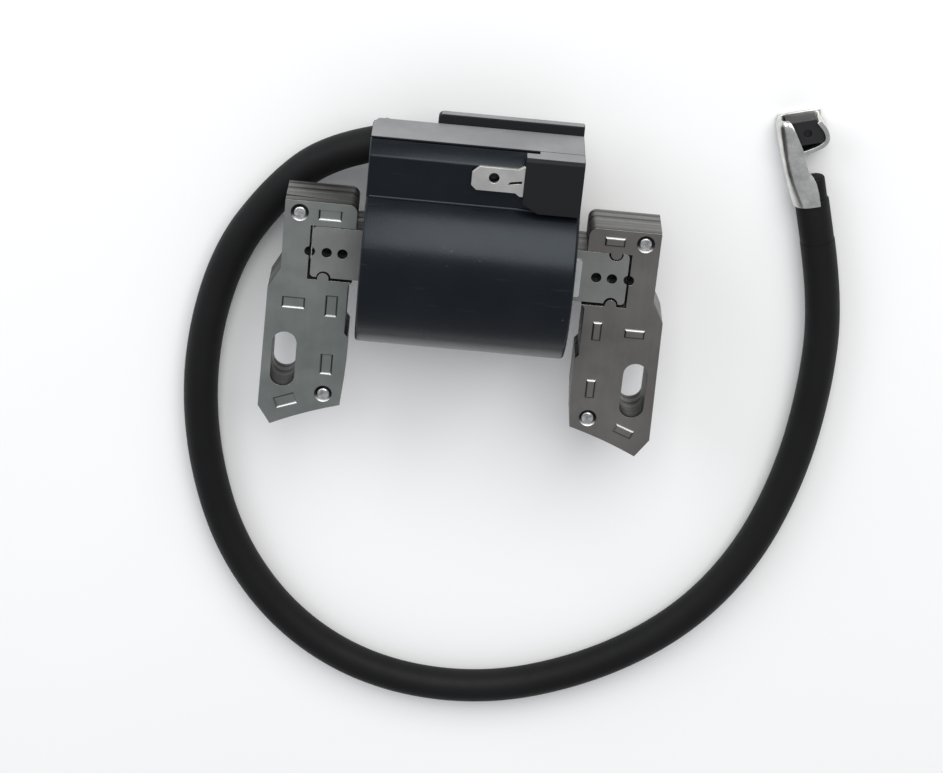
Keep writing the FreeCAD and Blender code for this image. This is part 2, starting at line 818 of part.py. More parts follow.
def make_lead():
    path, radii, length = lead_path()
    radius = size("lead_radius")
    section = Part.Wire(Part.makeCircle(radius, AXIS + lead_exit(), lead_direction()))
    shape = path.makePipeShell([section], True, False)
    expected = math.pi * radius ** 2 * length
    print("lead: length %.1f mm, volume %.0f of %.0f mm3" % (length, shape.Volume, expected))
    print("lead: arc radii " + ", ".join("%.0f" % value for value in radii))
    node(feature("lead", shape), "plug_lead")


def terminal_place():
    """Frame of the plug terminal: its +Y runs on along the lead from the crimp's end."""
    x, y, _ = LEAD_ROUTE[-1]
    before_x, before_y, _ = LEAD_ROUTE[-2]
    turn = math.degrees(math.atan2(before_x - x, y - before_y))
    return Placement(Vector(x, y + AXIS.y, 0), Rotation(Vector(0, 0, 1), turn))


def make_plug_terminal():
    """Crimped barrel, neck and spring socket of one strip, with a black insert in the socket."""
    lead, skin, strip = size("lead_radius"), size("crimp_thickness"), size("strip_thickness")
    long, crimp, height = size("terminal_length"), size("crimp_length"), LEAD_ROUTE[-1][2]
    up = Vector(0, 1, 0)
    barrel = Part.makeCylinder(lead + skin, crimp, Vector(0, -0.3, height), up)
    barrel = barrel.cut(Part.makeCylinder(lead, crimp + 1, Vector(0, -0.8, height), up))
    # foot of the strip: neck, then the socket that bulges to the right round the insert
    base = [
        (-4.6, crimp - 0.4),
        (-4.7, long - 2.2, 0.5),
        (-3.4, long, 0.5),
        (3.4, long, 0.8),
        (5.2, 23.0, 2.0),
        (4.9, 19.9, 1.5),
        (2.6, 18.1, 0.8),
        (0.4, 17.4, 0.5),
        (0.5, 15.9, 1.0),
        (1.6, 13.3, 1.0),
        (3.4, crimp - 0.4),
    ]
    outline = Part.Face(Part.Wire([curve.toShape() for curve in rounded(base)]))
    inner = outline.makeOffset2D(-strip)
    floor = outline.extrude(Vector(0, 0, strip))
    wall = outline.extrude(Vector(0, 0, size("strip_height"))).cut(inner.extrude(Vector(0, 0, 8)))
    # the strip is open at its end and along the right of its neck
    wall = wall.cut([
        Part.makeBox(5.6, 3, 8, Vector(-2.4, long - 1.2, strip)),
        Part.makeBox(9.6, 1.6, 8, Vector(-3.9, crimp - 0.5, strip)),
        Part.makeBox(3.6, 6.0, 8, Vector(0.6, crimp - 0.5, strip)),
    ])
    # the spark plug's threaded stud goes in from below
    stud = Vector(0.9, 23.2, 0)
    stud_way = Part.makeCylinder(size("plug_bore_radius"), size("plug_bore_depth"), stud)
    shell = barrel.fuse([floor.cut(stud_way), wall])
    shell = shell.cut(Part.makeCylinder(lead, 5.2, Vector(0, crimp - 0.8, height), up))
    node(feature("plug_shell", shell, terminal_place()), "plug_terminal_shell")
    block = [
        (-3.7, 20.9),
        (-3.7, long - 0.6, 0.5),
        (3.0, long - 0.6, 0.8),
        (4.2, 23.0, 1.0),
        (3.9, 20.9, 0.5),
    ]
    block = Part.Face(Part.Wire([curve.toShape() for curve in rounded(block)]))
    block = block.extrude(Vector(0, 0, 5.0))
    block.translate(Vector(0, 0, strip))
    block = block.common(inner.extrude(Vector(0, 0, 8)))
    block = block.cut([stud_way, Part.makeCylinder(0.8, 2, stud + Vector(0, 0, 4.9))])
    node(feature("plug_insert", block, terminal_place()), "plug_terminal_insert")
    tail = Part.makeCylinder(lead - 0.05, 4.2, Vector(0, 0, height), up)
    node(feature("lead_tail", tail, terminal_place()), "lead_crimped_end")


# ---- make, check and write ----------------------------------------------------------------------

make_core()
make_leg("left_leg", -1)
make_leg("right_leg", 1)
make_rivets("left_leg_rivets", -1)
make_rivets("right_leg_rivets", 1)
make_wedge()
make_housing()
make_covers()
make_terminal_block()
make_stop_terminal()
make_primary()
make_secondary()
make_potting()
make_circuit()
make_lead_inside()
make_lead()
make_plug_terminal()
doc.recompute()

for obj in doc.Objects:
    if "Invalid" in obj.State or "Error" in obj.State:
        raise RuntimeError(f"{obj.Name} failed: {obj.State}")
os.makedirs("parts", exist_ok=True)
for obj in nodes:
    if obj.Shape.isNull() or not obj.Shape.isValid():
        raise RuntimeError(f"{obj.Label} has no valid shape")
    print("%-26s %2d solids %9.1f mm3" % (obj.Label, len(obj.Shape.Solids), obj.Shape.Volume))
for obj in nodes:
    obj.Shape.exportStep(os.path.join("parts", obj.Label + ".step"))
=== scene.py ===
import math
import random

import bpy
from mathutils import Matrix, Vector


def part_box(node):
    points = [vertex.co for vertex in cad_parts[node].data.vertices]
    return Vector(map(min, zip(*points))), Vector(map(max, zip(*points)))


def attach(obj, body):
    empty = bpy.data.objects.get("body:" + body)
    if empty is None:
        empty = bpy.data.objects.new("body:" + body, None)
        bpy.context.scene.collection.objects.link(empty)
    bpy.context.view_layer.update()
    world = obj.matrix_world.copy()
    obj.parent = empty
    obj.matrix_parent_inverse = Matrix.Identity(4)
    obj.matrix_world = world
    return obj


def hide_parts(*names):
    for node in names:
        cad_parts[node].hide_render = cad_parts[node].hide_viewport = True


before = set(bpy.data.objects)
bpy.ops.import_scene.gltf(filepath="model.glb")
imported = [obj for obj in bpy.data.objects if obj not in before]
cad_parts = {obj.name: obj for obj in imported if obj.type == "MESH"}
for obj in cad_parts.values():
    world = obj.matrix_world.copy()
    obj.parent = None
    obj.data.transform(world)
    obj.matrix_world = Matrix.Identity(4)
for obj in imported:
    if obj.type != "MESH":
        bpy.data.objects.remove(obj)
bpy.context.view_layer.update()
MM = 0.001

# ---- places read from the frame -------------------------------------------------------------------

HOUSING_LOW, HOUSING_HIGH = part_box("coil_housing")
CORE_LOW, CORE_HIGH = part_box("core_laminations")
COVER_LOW, COVER_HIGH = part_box("top_cover")
RADIUS = HOUSING_HIGH.z / 2
AXIS = Vector((0, HOUSING_LOW.y + RADIUS, RADIUS))
LEG_FRONT = CORE_HIGH.z
LEG_BACK = CORE_LOW.z
SHEETS = 13
SHEET = (LEG_FRONT - LEG_BACK) / SHEETS
# middles of the right leg's interlocks and rivets in millimetres from the coil axis; the left leg
# mirrors them
INTERLOCKS = [(27.4, 7.75), (33.3, -11.1), (25.9, -11.2), (26.0, -23.6), (33.5, -32.2)]
RIVETS = [(33.3, 7.8), (26.2, -30.0)]

# moulded body in metres, with the box's front and lower side measured from the coil axis
BOX_FRONT = 0.0111
BOX_LOW = 0.010
BOX_CHAMFER = 0.0026
# what the slant at the box's back corner takes off along each side
SLANT_X, SLANT_Z = 0.001, 0.0026
BEAD_RADIUS = 0.0005

LEAD_DIAMETER = 0.007
# the cord route of the part in metres, with y from the coil axis
LEAD_ROUTE = [
    (-0.0209, 0.0181, 0.0102),
    (-0.0293, 0.0148, 0.0079),
    (-0.0384, 0.0058, 0.0059),
    (-0.0482, -0.0101, 0.0042),
    (-0.0526, -0.0328, 0.0036),
    (-0.0508, -0.0555, 0.0035),
    (-0.0434, -0.0774, 0.0035),
    (-0.0294, -0.0948, 0.0035),
    (-0.0105, -0.1048, 0.0035),
    (0.0124, -0.1063, 0.0035),
    (0.0343, -0.0988, 0.0035),
    (0.0523, -0.0859, 0.0035),
    (0.0642, -0.0689, 0.0035),
    (0.0709, -0.0485, 0.0035),
    (0.0733, -0.0276, 0.0035),
    (0.0725, -0.0087, 0.0040),
    (0.0689, 0.0044, 0.0040),
]


# ---- tools of the bench -----------------------------------------------------------------------------


def alone(obj):
    """Selects one object, and nothing else."""
    bpy.ops.object.select_all(action="DESELECT")
    obj.select_set(True)
    bpy.context.view_layer.objects.active = obj


def added(name):
    """Names the primitive that has just been added."""
    obj = bpy.context.active_object
    obj.name = name
    obj.data.name = name
    return obj


def fixed(obj):
    """Puts an object's place, turn and size into its mesh."""
    alone(obj)
    bpy.ops.object.transform_apply(location=True, rotation=True, scale=True)
    return obj


def block(name, low, high):
    """A cuboid between two corners."""
    bpy.ops.object.select_all(action="DESELECT")
    middle = (Vector(low) + Vector(high)) / 2
    bpy.ops.mesh.primitive_cube_add(size=1, location=middle)
    obj = added(name)
    obj.scale = Vector(high) - Vector(low)
    return fixed(obj)


def rod(name, radius, start, end, sides=64):
    """A cylinder between two points."""
    bpy.ops.object.select_all(action="DESELECT")
    way = Vector(end) - Vector(start)
    turn = way.to_track_quat("Z", "Y").to_euler()
    bpy.ops.mesh.primitive_cylinder_add(
        vertices=sides, radius=radius, depth=way.length, location=(Vector(start) + Vector(end)) / 2,
        rotation=turn,
    )
    return fixed(added(name))


def everything(obj):
    """Opens an object for editing with all of it selected."""
    alone(obj)
    bpy.ops.object.mode_set(mode="EDIT")
    bpy.ops.mesh.select_all(action="SELECT")


def pick(obj, kind, test):
    """Selects only the faces, edges or points that pass a test on their middle and direction."""
    mesh = obj.data
    alone(obj)
    modes = {"faces": "FACE", "edges": "EDGE", "points": "VERT"}
    bpy.ops.object.mode_set(mode="EDIT")
    bpy.ops.mesh.select_mode(type=modes[kind])
    bpy.ops.mesh.select_all(action="DESELECT")
    bpy.ops.object.mode_set(mode="OBJECT")
    if kind == "faces":
        for face in mesh.polygons:
            face.select = test(face.center, face.normal)
    elif kind == "edges":
        for edge in mesh.edges:
            a, b = (mesh.vertices[index].co for index in edge.vertices)
            edge.select = test((a + b) / 2, (b - a).normalized())
    else:
        for vertex in mesh.vertices:
            vertex.select = test(vertex.co, vertex.normal)
    bpy.ops.object.mode_set(mode="EDIT")


def done():
    """Closes the object that is open for editing."""
    bpy.ops.object.mode_set(mode="OBJECT")


def finish_with(obj, kind, **settings):
    """Adds a modifier and applies it."""
    alone(obj)
    tool = obj.modifiers.new(kind.lower(), kind)
    for name, value in settings.items():
        setattr(tool, name, value)
    bpy.ops.object.modifier_apply(modifier=tool.name)
    return obj


def smooth(obj, angle=35):
    """Shades an object smooth, except across edges sharper than an angle."""
    alone(obj)
    bpy.ops.object.shade_smooth_by_angle(angle=math.radians(angle))
    return obj


def broken_edges(obj, width):
    """Rounds every sharp edge a little, and keeps the flat faces flat."""
    finish_with(
        obj, "BEVEL", width=width, segments=3, limit_method="ANGLE", angle_limit=math.radians(35),
        harden_normals=False,
    )
    smooth(obj, 60)
    return finish_with(obj, "WEIGHTED_NORMAL", keep_sharp=True, weight=50)


def joined(name, pieces):
    """Makes one object of several."""
    bpy.ops.object.select_all(action="DESELECT")
    for piece in pieces:
        piece.select_set(True)
    bpy.context.view_layer.objects.active = pieces[0]
    bpy.ops.object.join()
    pieces[0].name = name
    return pieces[0]


def copy_of(node, name):
    """A copy of a CAD node as clean faces, for finishing."""
    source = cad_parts[node]
    obj = bpy.data.objects.new(name, source.data.copy())
    bpy.context.scene.collection.objects.link(obj)
    obj.data.materials.clear()
    everything(obj)
    bpy.ops.mesh.remove_doubles(threshold=0.000001)
    bpy.ops.mesh.dissolve_limited(angle_limit=math.radians(1))
    done()
    return obj


def stand_in(obj, material, slot, *nodes):
    """Gives a finished piece its material, and lets it stand for its CAD nodes. The slot is not used."""
    obj.data.materials.clear()
    obj.data.materials.append(material)
    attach(obj, "root")
    if nodes:
        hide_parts(*nodes)
    return obj


# ---- materials --------------------------------------------------------------------------------------


class Finish:
    """One procedural material, built node by node from Object coordinates."""

    def __init__(self, name, **shader):
        self.material = bpy.data.materials.new(name)
        self.material.use_nodes = True
        self.nodes = self.material.node_tree.nodes
        self.links = self.material.node_tree.links
        self.shader = self.nodes["Principled BSDF"]
        for socket, value in shader.items():
            self.shader.inputs[socket.replace("_", " ")].default_value = value
        self.place = self.nodes.new("ShaderNodeTexCoord").outputs["Object"]

    def node(self, kind, settings=None, **inputs):
        """Adds a node, with each input set to a value or linked to a socket."""
        made = self.nodes.new("ShaderNode" + kind)
        for name, value in (settings or {}).items():
            setattr(made, name, value)
        for name, value in inputs.items():
            # _0 is the first socket, and To_Min the one named To Min
            socket = made.inputs[int(name[1:]) if name[1:].isdigit() else name.replace("_", " ")]
            if isinstance(value, bpy.types.NodeSocket):
                self.links.new(value, socket)
            else:
                socket.default_value = value
        return made

    def stretched(self, scale):
        """Coordinates with their own scale along each axis."""
        return self.node("Mapping", Vector=self.place, Scale=scale).outputs["Vector"]

    def noise(self, scale, detail=3, where=None):
        """Soft noise between 0 and 1."""
        made = self.node("TexNoise", Vector=where or self.place, Scale=scale, Detail=detail, Roughness=0.55)
        return made.outputs["Fac"]

    def ramp(self, factor, *stops):
        """Colour ramp through (position, colour or grey) stops."""
        made = self.node("ValToRGB", Fac=factor)
        line = made.color_ramp.elements
        while len(line) < len(stops):
            line.new(0.5)
        for element, (position, colour) in zip(line, stops):
            element.position = position
            element.color = (*colour, 1) if isinstance(colour, tuple) else (colour, colour, colour, 1)
        return made.outputs["Color"]

    def mix(self, factor, first, second, blend="MIX"):
        """Blends two colours."""
        made = self.node("MixRGB", {"blend_type": blend}, Fac=factor, Color1=first, Color2=second)
        return made.outputs["Color"]

    def sums(self, how, first, second):
        """One sum of two values."""
        return self.node("Math", {"operation": how}, _0=first, _1=second).outputs["Value"]

    def spread(self, factor, low, high):
        """Maps a 0 to 1 value onto a range."""
        made = self.node("MapRange", Value=factor, To_Min=low, To_Max=high)
        return made.outputs["Result"]

    def colour(self, value):
        self.links.new(value, self.shader.inputs["Base Color"])

    def roughness(self, value):
        self.links.new(value, self.shader.inputs["Roughness"])

    def bump(self, height, distance, strength):
        made = self.node("Bump", Height=height, Distance=distance, Strength=strength)
        self.links.new(made.outputs["Normal"], self.shader.inputs["Normal"])


def moulded_black():
    """Glass-filled black moulding: fine grain, faint rubs and a few pale specks of dust."""
    finish = Finish("moulded_black", Specular_IOR_Level=0.28, Specular_Tint=(0.82, 0.92, 1.0, 1))
    cloud = finish.noise(60, 4)
    base = finish.ramp(cloud, (0.3, (0.002, 0.0026, 0.004)), (0.7, (0.005, 0.006, 0.0085)))
    rubs = finish.ramp(finish.noise(900, 3, finish.stretched((0.1, 1, 1))), (0.62, 0.0), (0.75, 1.0))
    base = finish.mix(finish.spread(rubs, 0.0, 0.25), base, (0.03, 0.03, 0.033, 1))
    dots = finish.node("TexVoronoi", {"feature": "F1"}, Vector=finish.place, Scale=420, Randomness=1.0)
    specks = finish.ramp(dots.outputs["Distance"], (0.05, 1.0), (0.1, 0.0))
    where = finish.ramp(finish.noise(140, 2), (0.56, 0.0), (0.64, 1.0))
    specks = finish.mix(1.0, specks, where, "MULTIPLY")
    finish.colour(finish.mix(finish.spread(specks, 0.0, 0.22), base, (0.3, 0.3, 0.31, 1)))
    finish.roughness(finish.spread(finish.noise(220, 4), 0.22, 0.31))
    finish.bump(finish.noise(2600, 2), 0.00002, 0.5)
    return finish.material


def cover_black():
    """Black moulding with grey painted on its upward faces as painted light from above."""
    finish = Finish("cover_black", Specular_IOR_Level=0.25)
    painted_top_light = finish.ramp(finish.noise(90, 5), (0.3, (0.19, 0.193, 0.197)), (0.72, (0.265, 0.269, 0.274)))
    # faces that point up are painted grey over the black: painted light from above
    upward = finish.node("SeparateXYZ", Vector=finish.node("NewGeometry").outputs["Normal"]).outputs["Y"]
    top = finish.ramp(upward, (0.8, 0.0), (0.95, 1.0))
    finish.colour(finish.mix(top, (0.006, 0.0065, 0.008, 1), painted_top_light))
    finish.roughness(finish.spread(finish.noise(400, 3), 0.5, 0.7))
    finish.bump(finish.noise(3200, 2), 0.00003, 0.6)
    return finish.material


def lead_jacket():
    """Matte black rubber, a little cloudy, with a fine grain."""
    finish = Finish("lead_jacket", Specular_IOR_Level=0.2)
    cloud = finish.noise(40, 4)
    finish.colour(finish.ramp(cloud, (0.3, (0.003, 0.003, 0.0032)), (0.75, (0.007, 0.007, 0.0075))))
    finish.roughness(finish.spread(finish.noise(300, 3), 0.5, 0.66))
    finish.bump(finish.noise(1500, 3), 0.00004, 0.6)
    return finish.material


def sheet_steel(name, tint):
    """Silicon steel: tinted grey oxide with cloudy patches and rolling marks, and uneven cut edges, with
    painted shade in the punched holes and painted light and shade on the broken edges.
    """
    finish = Finish(name, Metallic=0.85)
    cloud = finish.noise(110, 4)
    dark = tuple(channel * 0.72 for channel in tint)
    faces = finish.ramp(cloud, (0.3, dark), (0.7, tint))
    rolled = finish.noise(900, 2, finish.stretched((1, 0.06, 1)))
    faces = finish.mix(finish.spread(rolled, 0.0, 0.08), faces, (0.5, 0.5, 0.49, 1))
    # each sheet of the stack has its own shade on its cut edge
    height = finish.node("SeparateXYZ", Vector=finish.place).outputs["Z"]
    level = finish.sums("MULTIPLY", finish.sums("SUBTRACT", height, LEG_BACK), 1 / SHEET)
    number = finish.node("Math", {"operation": "FLOOR"}, _0=level).outputs["Value"]
    shade = finish.node("TexWhiteNoise", {"noise_dimensions": "1D"}, W=number).outputs["Value"]
    edge = finish.ramp(shade, (0.0, (0.05, 0.05, 0.048)), (1.0, (0.3, 0.3, 0.29)))
    torn = finish.noise(1600, 2, finish.stretched((1, 1, 0.4)))
    edge = finish.mix(finish.spread(torn, 0.0, 0.5), edge, (0.12, 0.11, 0.1, 1))
    normal = finish.node("SeparateXYZ", Vector=finish.node("NewGeometry").outputs["True Normal"]).outputs
    facing = normal["Z"]
    how_flat = finish.node("Math", {"operation": "ABSOLUTE"}, _0=facing).outputs["Value"]
    flat = finish.ramp(how_flat, (0.5, 0.0), (0.8, 1.0))
    # faces looking out of the front below the top sheets, the floors of the punched marks, are painted near
    # black: painted shade in the holes
    shut = finish.ramp(finish.sums("DIVIDE", level, SHEETS), (0.85, 1.0), (0.9, 0.0))
    opened = finish.node("Math", {"operation": "GREATER_THAN"}, _0=facing, _1=0.5).outputs["Value"]
    marks = finish.sums("MULTIPLY", shut, opened)
    steel = finish.mix(flat, edge, faces)
    # slopes of the broken edges are painted highlight on the side facing up the leg and painted shade on the
    # side facing down
    tilted = finish.ramp(how_flat, (0.1, 0.0), (0.2, 1.0), (0.94, 1.0), (0.98, 0.0))
    painted_edge_light_and_shade = finish.ramp(finish.spread(normal["Y"], 0.5, 1.0), (0.45, 0.02), (0.62, 0.1), (0.8, 0.85))
    steel = finish.mix(tilted, steel, painted_edge_light_and_shade)
    finish.colour(finish.mix(marks, steel, (0.01, 0.01, 0.01, 1)))
    finish.roughness(finish.spread(finish.noise(500, 3), 0.36, 0.54))
    finish.bump(rolled, 0.00001, 0.5)
    return finish.material


def bright_metal(name, colour, low, high, grain=700, shade=0.78):
    """Plated or bare bright metal with soft mottling and fine scratches."""
    finish = Finish(name, Metallic=1.0)
    cloud = finish.noise(grain * 0.4, 4)
    dark = tuple(channel * shade for channel in colour)
    base = finish.ramp(cloud, (0.3, dark), (0.7, colour))
    lines = finish.noise(grain * 3, 2, finish.stretched((0.08, 1, 1)))
    finish.colour(finish.mix(finish.spread(lines, 0.0, 0.2), base, (0.3, 0.3, 0.3, 1)))
    finish.roughness(finish.spread(finish.noise(grain, 3), low, high))
    finish.bump(finish.noise(grain * 2, 2), 0.00001, 0.4)
    return finish.material


def plain_inside(name, colour, roughness, metal=0.0):
    """A plain finish, mostly for sealed pieces: mottled, with a fine grain."""
    finish = Finish(name, Metallic=metal, Roughness=roughness)
    dark = tuple(channel * 0.8 for channel in colour)
    finish.colour(finish.ramp(finish.noise(300, 3), (0.3, dark), (0.7, colour)))
    finish.bump(finish.noise(1800, 2), 0.00002, 0.5)
    return finish.material


def wound_wire(name, colour, grain):
    """Enamelled wire, ridged along the core, with 2 pi grains from ridge to ridge."""
    finish = Finish(name, Metallic=0.7, Roughness=0.3)
    turns = finish.node(
        "TexWave", {"wave_type": "BANDS", "bands_direction": "X"}, Vector=finish.place, Scale=1 / (grain * 20)
    ).outputs["Fac"]
    dark = tuple(channel * 0.4 for channel in colour)
    # the dark bands between the ridges are painted shade in the grooves between turns
    finish.colour(finish.ramp(turns, (0.1, dark), (0.6, colour)))
    finish.bump(turns, grain / 4, 0.8)
    return finish.material


# ---- camera, light and floor --------------------------------------------------------------------------

CAMERA_TILT = 24.81
CAMERA_PAN = 1.43
CAMERA_ROLL = -5.19
CAMERA_FROM_FRONT = Vector((-0.01095, 0.20503, 0.49870))
CAMERA_LENS = 106.56


def set_camera():
    """Looks down on the front of the legs, tilted towards the box."""
    data = bpy.data.cameras.new("camera")
    data.lens = CAMERA_LENS
    data.sensor_width = 36
    data.clip_start = 0.01
    camera = bpy.data.objects.new("camera", data)
    bpy.context.scene.collection.objects.link(camera)
    turn = (
        Matrix.Rotation(-math.radians(CAMERA_TILT), 4, "X")
        @ Matrix.Rotation(-math.radians(CAMERA_PAN), 4, "Y")
        @ Matrix.Rotation(-math.radians(CAMERA_ROLL), 4, "Z")
    )
    spot = Vector((0, AXIS.y, LEG_FRONT)) + CAMERA_FROM_FRONT
    camera.matrix_world = Matrix.Translation(spot) @ turn
    bpy.context.scene.camera = camera


def set_light():
    """A pale, even room with a large lamp above and a smaller one to the left."""
    scene = bpy.context.scene
    scene.view_settings.view_transform = "Standard"
    world = bpy.data.worlds.new("studio")
    scene.world = world
    world.use_nodes = True
    air = world.node_tree.nodes["Background"].inputs
    air["Color"].default_value = (0.93, 0.95, 1.0, 1)
    air["Strength"].default_value = 0.48
    # name, place, width, power and colour
    lamps = [
        ("ceiling", (0.15, 0.75, 0.85), 0.9, 10.4, (1.0, 0.99, 0.97)),
        ("window", (-0.7, 0.5, 0.5), 0.6, 3.1, (0.93, 0.96, 1.0)),
    ]
    for name, spot, width, power, colour in lamps:
        data = bpy.data.lights.new(name, "AREA")
        data.size = width
        data.energy = power
        data.color = colour
        lamp = bpy.data.objects.new(name, data)
        scene.collection.objects.link(lamp)
        lamp.location = spot
        lamp.rotation_euler = (-Vector(spot)).to_track_quat("-Z", "Y").to_euler()


def lay_floor():
    """A wide sheet of white paper."""
    bpy.ops.object.select_all(action="DESELECT")
    bpy.ops.mesh.primitive_circle_add(vertices=96, radius=3, fill_type="NGON")
    floor = added("floor")
    finish = Finish("floor_paper", Roughness=0.9)
    finish.colour(finish.ramp(finish.noise(8, 3), (0.3, (0.93, 0.932, 0.925)), (0.7, (0.95, 0.951, 0.943))))
    floor.data.materials.append(finish.material)


# ---- lead ---------------------------------------------------------------------------------------------


def route():
    """The lead's route in the coil's own frame."""
    return [Vector((x, y + AXIS.y, z)) for x, y, z in LEAD_ROUTE]


def smooth_line(name, corners, **settings):
    """A curve that follows its corners smoothly, from the first to the last."""
    data = bpy.data.curves.new(name, "CURVE")
    data.dimensions = "3D"
    for setting, value in settings.items():
        setattr(data, setting, value)
    spline = data.splines.new("NURBS")
    spline.points.add(len(corners) - 1)
    for point, corner in zip(spline.points, corners):
        point.co = (*corner, 1)
    spline.order_u = 3
    spline.use_endpoint_u = True
    line = bpy.data.objects.new(name, data)
    bpy.context.scene.collection.objects.link(line)
    return line


def make_lead(material):
    """The lead as one smooth line along its route."""
    lead = smooth_line(
        "ignition_lead", route(), bevel_depth=LEAD_DIAMETER / 2, bevel_resolution=10, resolution_u=24,
        use_fill_caps=True,
    )
    lead.data.materials.append(material)
    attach(lead, "root")
    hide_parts("plug_lead")
    return lead


# ---- laminated steel ----------------------------------------------------------------------------------


def on_leg(side, spot):
    """A place on one leg, from the right leg's own list in millimetres."""
    return Vector((side * spot[0] * MM, AXIS.y + spot[1] * MM, 0))


def round_interlocks(sheet, side):
    """Rolls the rims of the pressed marks in a leg's front sheet."""
    middles = [on_leg(side, spot) for spot in INTERLOCKS]
    reach, rim, roll = 2.1 * MM, 0.02 * MM, 0.33 * MM

    def on_rim(place, way):
        if min((place.xy - middle.xy).length for middle in middles) > reach or abs(way.z) > 0.5:
            return False
        # the right leg's marks stand proud of its front, and the left leg's are sunk
        return place.z > LEG_FRONT + 10 * rim if side > 0 else abs(place.z - LEG_FRONT) < rim

    pick(sheet, "edges", on_rim)
    bpy.ops.mesh.bevel(offset=roll, segments=3)
    done()


def make_stack(node, name, material, stagger, side=0):
    """Sheets with broken edges, each a hair out of line with the next."""
    everything(copy_of(node, name))
    bpy.ops.mesh.separate(type="LOOSE")
    done()
    sheets = sorted(bpy.context.selected_objects, key=lambda one: min(v.co.z for v in one.data.vertices))
    chance = random.Random(len(name))
    if side:
        round_interlocks(sheets[-1], side)
    for one in sheets:
        shift = (chance.uniform(-stagger, stagger), chance.uniform(-stagger, stagger), 0)
        everything(one)
        bpy.ops.transform.translate(value=shift)
        done()
    obj = joined(name, sheets)
    broken = 0.09 * MM
    finish_with(obj, "BEVEL", width=broken, segments=1, limit_method="ANGLE", angle_limit=math.radians(40))
    return stand_in(obj, material, "silicon_steel", node)


def make_rivets(node, name, material):
    """Rivets with low domed ends, each in the sunk ring of its hole."""
    side = -1 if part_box(node)[1].x < 0 else 1
    rise, dome = 0.25 * MM, 1.25 * MM
    rivets = []
    for spot in RIVETS:
        foot = on_leg(side, spot)
        back, front = (foot + Vector((0, 0, z)) for z in (LEG_BACK - rise, LEG_FRONT + rise))
        rivet = rod(name, dome, back, front, 40)
        pick(rivet, "edges", lambda place, way: abs(way.z) < 0.5)
        bpy.ops.mesh.bevel(offset=0.5 * MM, segments=5, profile=0.6)
        done()
        # the set leaves a shallow mark a little off the middle
        pick(rivet, "faces", lambda place, facing: abs(facing.z) > 0.99)
        bpy.ops.mesh.inset(thickness=0.25 * MM, depth=-0.05 * MM)
        bpy.ops.transform.translate(value=(0.06 * MM, -0.04 * MM, 0))
        done()
        rivets.append(rivet)
    obj = smooth(joined(name, rivets), 50)
    return stand_in(obj, material, "rivet_steel", node)


# ---- moulded body ---------------------------------------------------------------------------------------


def make_socket(left):
    """Boss round the lead's end, flush with the body's end and tapering to a closed tip inside."""
    radius, straight, deep, past, taper = 0.0045, 0.004, 0.0094, 0.0022, 0.33
    mouth = route()[0]
    way = (route()[1] - mouth).normalized()
    shoulder, tip = mouth - way * straight, mouth - way * deep
    socket = rod("lead_socket", radius, shoulder, mouth + way * past, 48)
    pick(socket, "faces", lambda place, facing: facing.dot(way) < -0.9)
    bpy.ops.mesh.extrude_region_move(TRANSFORM_OT_translate={"value": tip - shoulder})
    bpy.ops.transform.resize(value=(taper, taper, taper), center_override=tip)
    bpy.ops.mesh.select_all(action="SELECT")
    bpy.ops.mesh.bisect(plane_co=(left, 0, 0), plane_no=(-1, 0, 0), use_fill=True, clear_outer=True)
    done()
    return socket


def make_body(left, right):
    """The round body, with a raised rim round each sunk end."""
    rim, step, sunk, soft = 0.0016, 0.0003, 0.0005, 0.0006
    body = rod("coil_body", RADIUS, AXIS + Vector((left, 0, 0)), AXIS + Vector((right, 0, 0)), 180)
    for way in (-1, 1):
        pick(body, "faces", lambda place, facing, way=way: facing.x * way > 0.9)
        bpy.ops.mesh.inset(thickness=rim, depth=0)
        bpy.ops.mesh.inset(thickness=step, depth=-sunk)
        done()

    def on_rim(place, way):
        at_end = min(abs(place.x - left), abs(place.x - right)) < 1e-6
        return at_end and (place - AXIS).yz.length > RADIUS * 0.99

    pick(body, "edges", on_rim)
    bpy.ops.mesh.bevel(offset=soft, segments=4)
    done()
    return body


def make_box(left, right):
    """The box along the body, with its chamfered front and one slanted corner at the back."""
    front, back, top, low = AXIS.z + BOX_FRONT, COVER_LOW.z, COVER_LOW.y, AXIS.y + BOX_LOW
    case = block("coil_box", (left, low, back), (right, top, front))
    pick(case, "edges", lambda place, way: place.y > top - 1e-6 and place.z > front - 1e-6)
    bpy.ops.mesh.bevel(offset=BOX_CHAMFER, segments=1)
    bpy.ops.mesh.select_all(action="SELECT")
    bpy.ops.mesh.bisect(
        plane_co=(left + SLANT_X, top, back), plane_no=(-SLANT_Z / SLANT_X, 0, -1),
        use_fill=True, clear_outer=True,
    )
    done()
    # every edge but those of the lower side, which is inside the round body
    pick(case, "edges", lambda place, way: place.y > low + 0.001)
    soft = 0.0004
    bpy.ops.mesh.bevel(offset=soft, segments=3)
    done()
    return case


def make_bead(left, right):
    """The thin bead where the box's front meets the round body."""
    ledge = AXIS.y + math.sqrt(RADIUS ** 2 - BOX_FRONT ** 2)
    level = AXIS.z + BOX_FRONT - 0.0002
    return rod("coil_bead", BEAD_RADIUS, (left + 0.0006, ledge, level), (right - 0.001, ledge, level), 24)


def make_housing(material):
    """Round body, box, bead and lead socket in one moulding."""
    left, right, box_right = HOUSING_LOW.x, HOUSING_HIGH.x, COVER_HIGH.x
    pieces = [
        make_body(left, right),
        make_box(left, box_right),
        make_bead(left, box_right),
        make_socket(left),
    ]
    obj = smooth(joined("coil_housing_moulding", pieces), 30)
    return stand_in(obj, material, "black_moulding", "coil_housing")


def make_trim(node, name, width, material, slot):
    """A CAD piece with its edges broken to a small radius."""
    obj = copy_of(node, name)
    broken_edges(obj, width)
    return stand_in(obj, material, slot, node)


